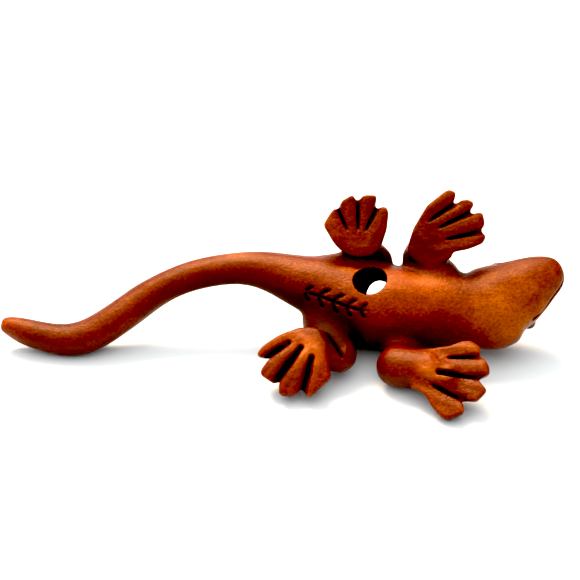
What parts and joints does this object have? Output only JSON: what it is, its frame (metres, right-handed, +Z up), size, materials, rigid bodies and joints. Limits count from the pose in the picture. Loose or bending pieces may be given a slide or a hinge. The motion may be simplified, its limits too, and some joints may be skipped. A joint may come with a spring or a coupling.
{
  "type": "carved lizard toggle",
  "caption": "Small carved wooden lizard with a curled tail, spread toes, inlaid bead eyes and a cord hole through its trunk, lying on its back.",
  "frame": {"origin": "centre of the bounding box, on the surface it rests on", "axes": "+X along the body towards the head, +Z up, and the belly leans towards -Y as the lizard lies on its back and left side"},
  "size_m": [0.1002, 0.0334, 0.0276],
  "materials": {
    "boxwood": "stained orange-brown, oiled satin, dark in the cuts",
    "dark_horn": "polished black horn"
  },
  "bodies": {
    "root": {"carving": "boxwood", "left_eye": "dark_horn", "right_eye": "dark_horn"}
  },
  "joints": []
}
